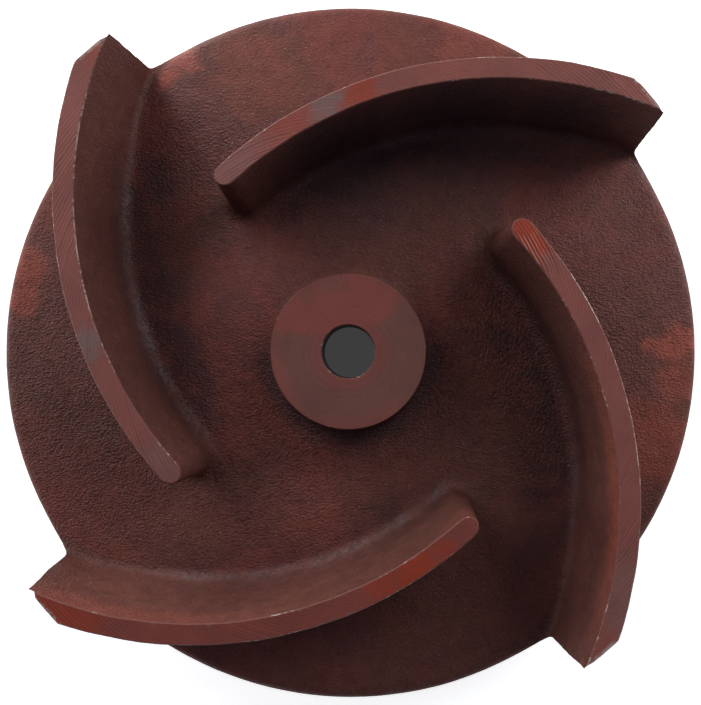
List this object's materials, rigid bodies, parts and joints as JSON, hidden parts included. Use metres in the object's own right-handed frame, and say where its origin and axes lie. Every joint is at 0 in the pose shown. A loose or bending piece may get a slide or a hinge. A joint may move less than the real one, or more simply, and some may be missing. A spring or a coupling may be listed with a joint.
{
  "type": "semi-open pump impeller",
  "caption": "Semi-open pump impeller cast in one piece: a round back shroud with tall backward-curved vanes around a bored hub.",
  "frame": {"origin": "centre of the shaft bore at the rear hub face, which is the lowest point of the part", "axes": "+Z along the bore's axis towards the suction side, so the vanes stand up; the keyway is on +Y"},
  "size_m": [0.2, 0.2, 0.053],
  "materials": {
    "primed_iron": "red oxide primer over sand-cast grey iron, worn thin on the turned faces"
  },
  "bodies": {
    "root": {"impeller_casting": "primed_iron"}
  },
  "joints": []
}
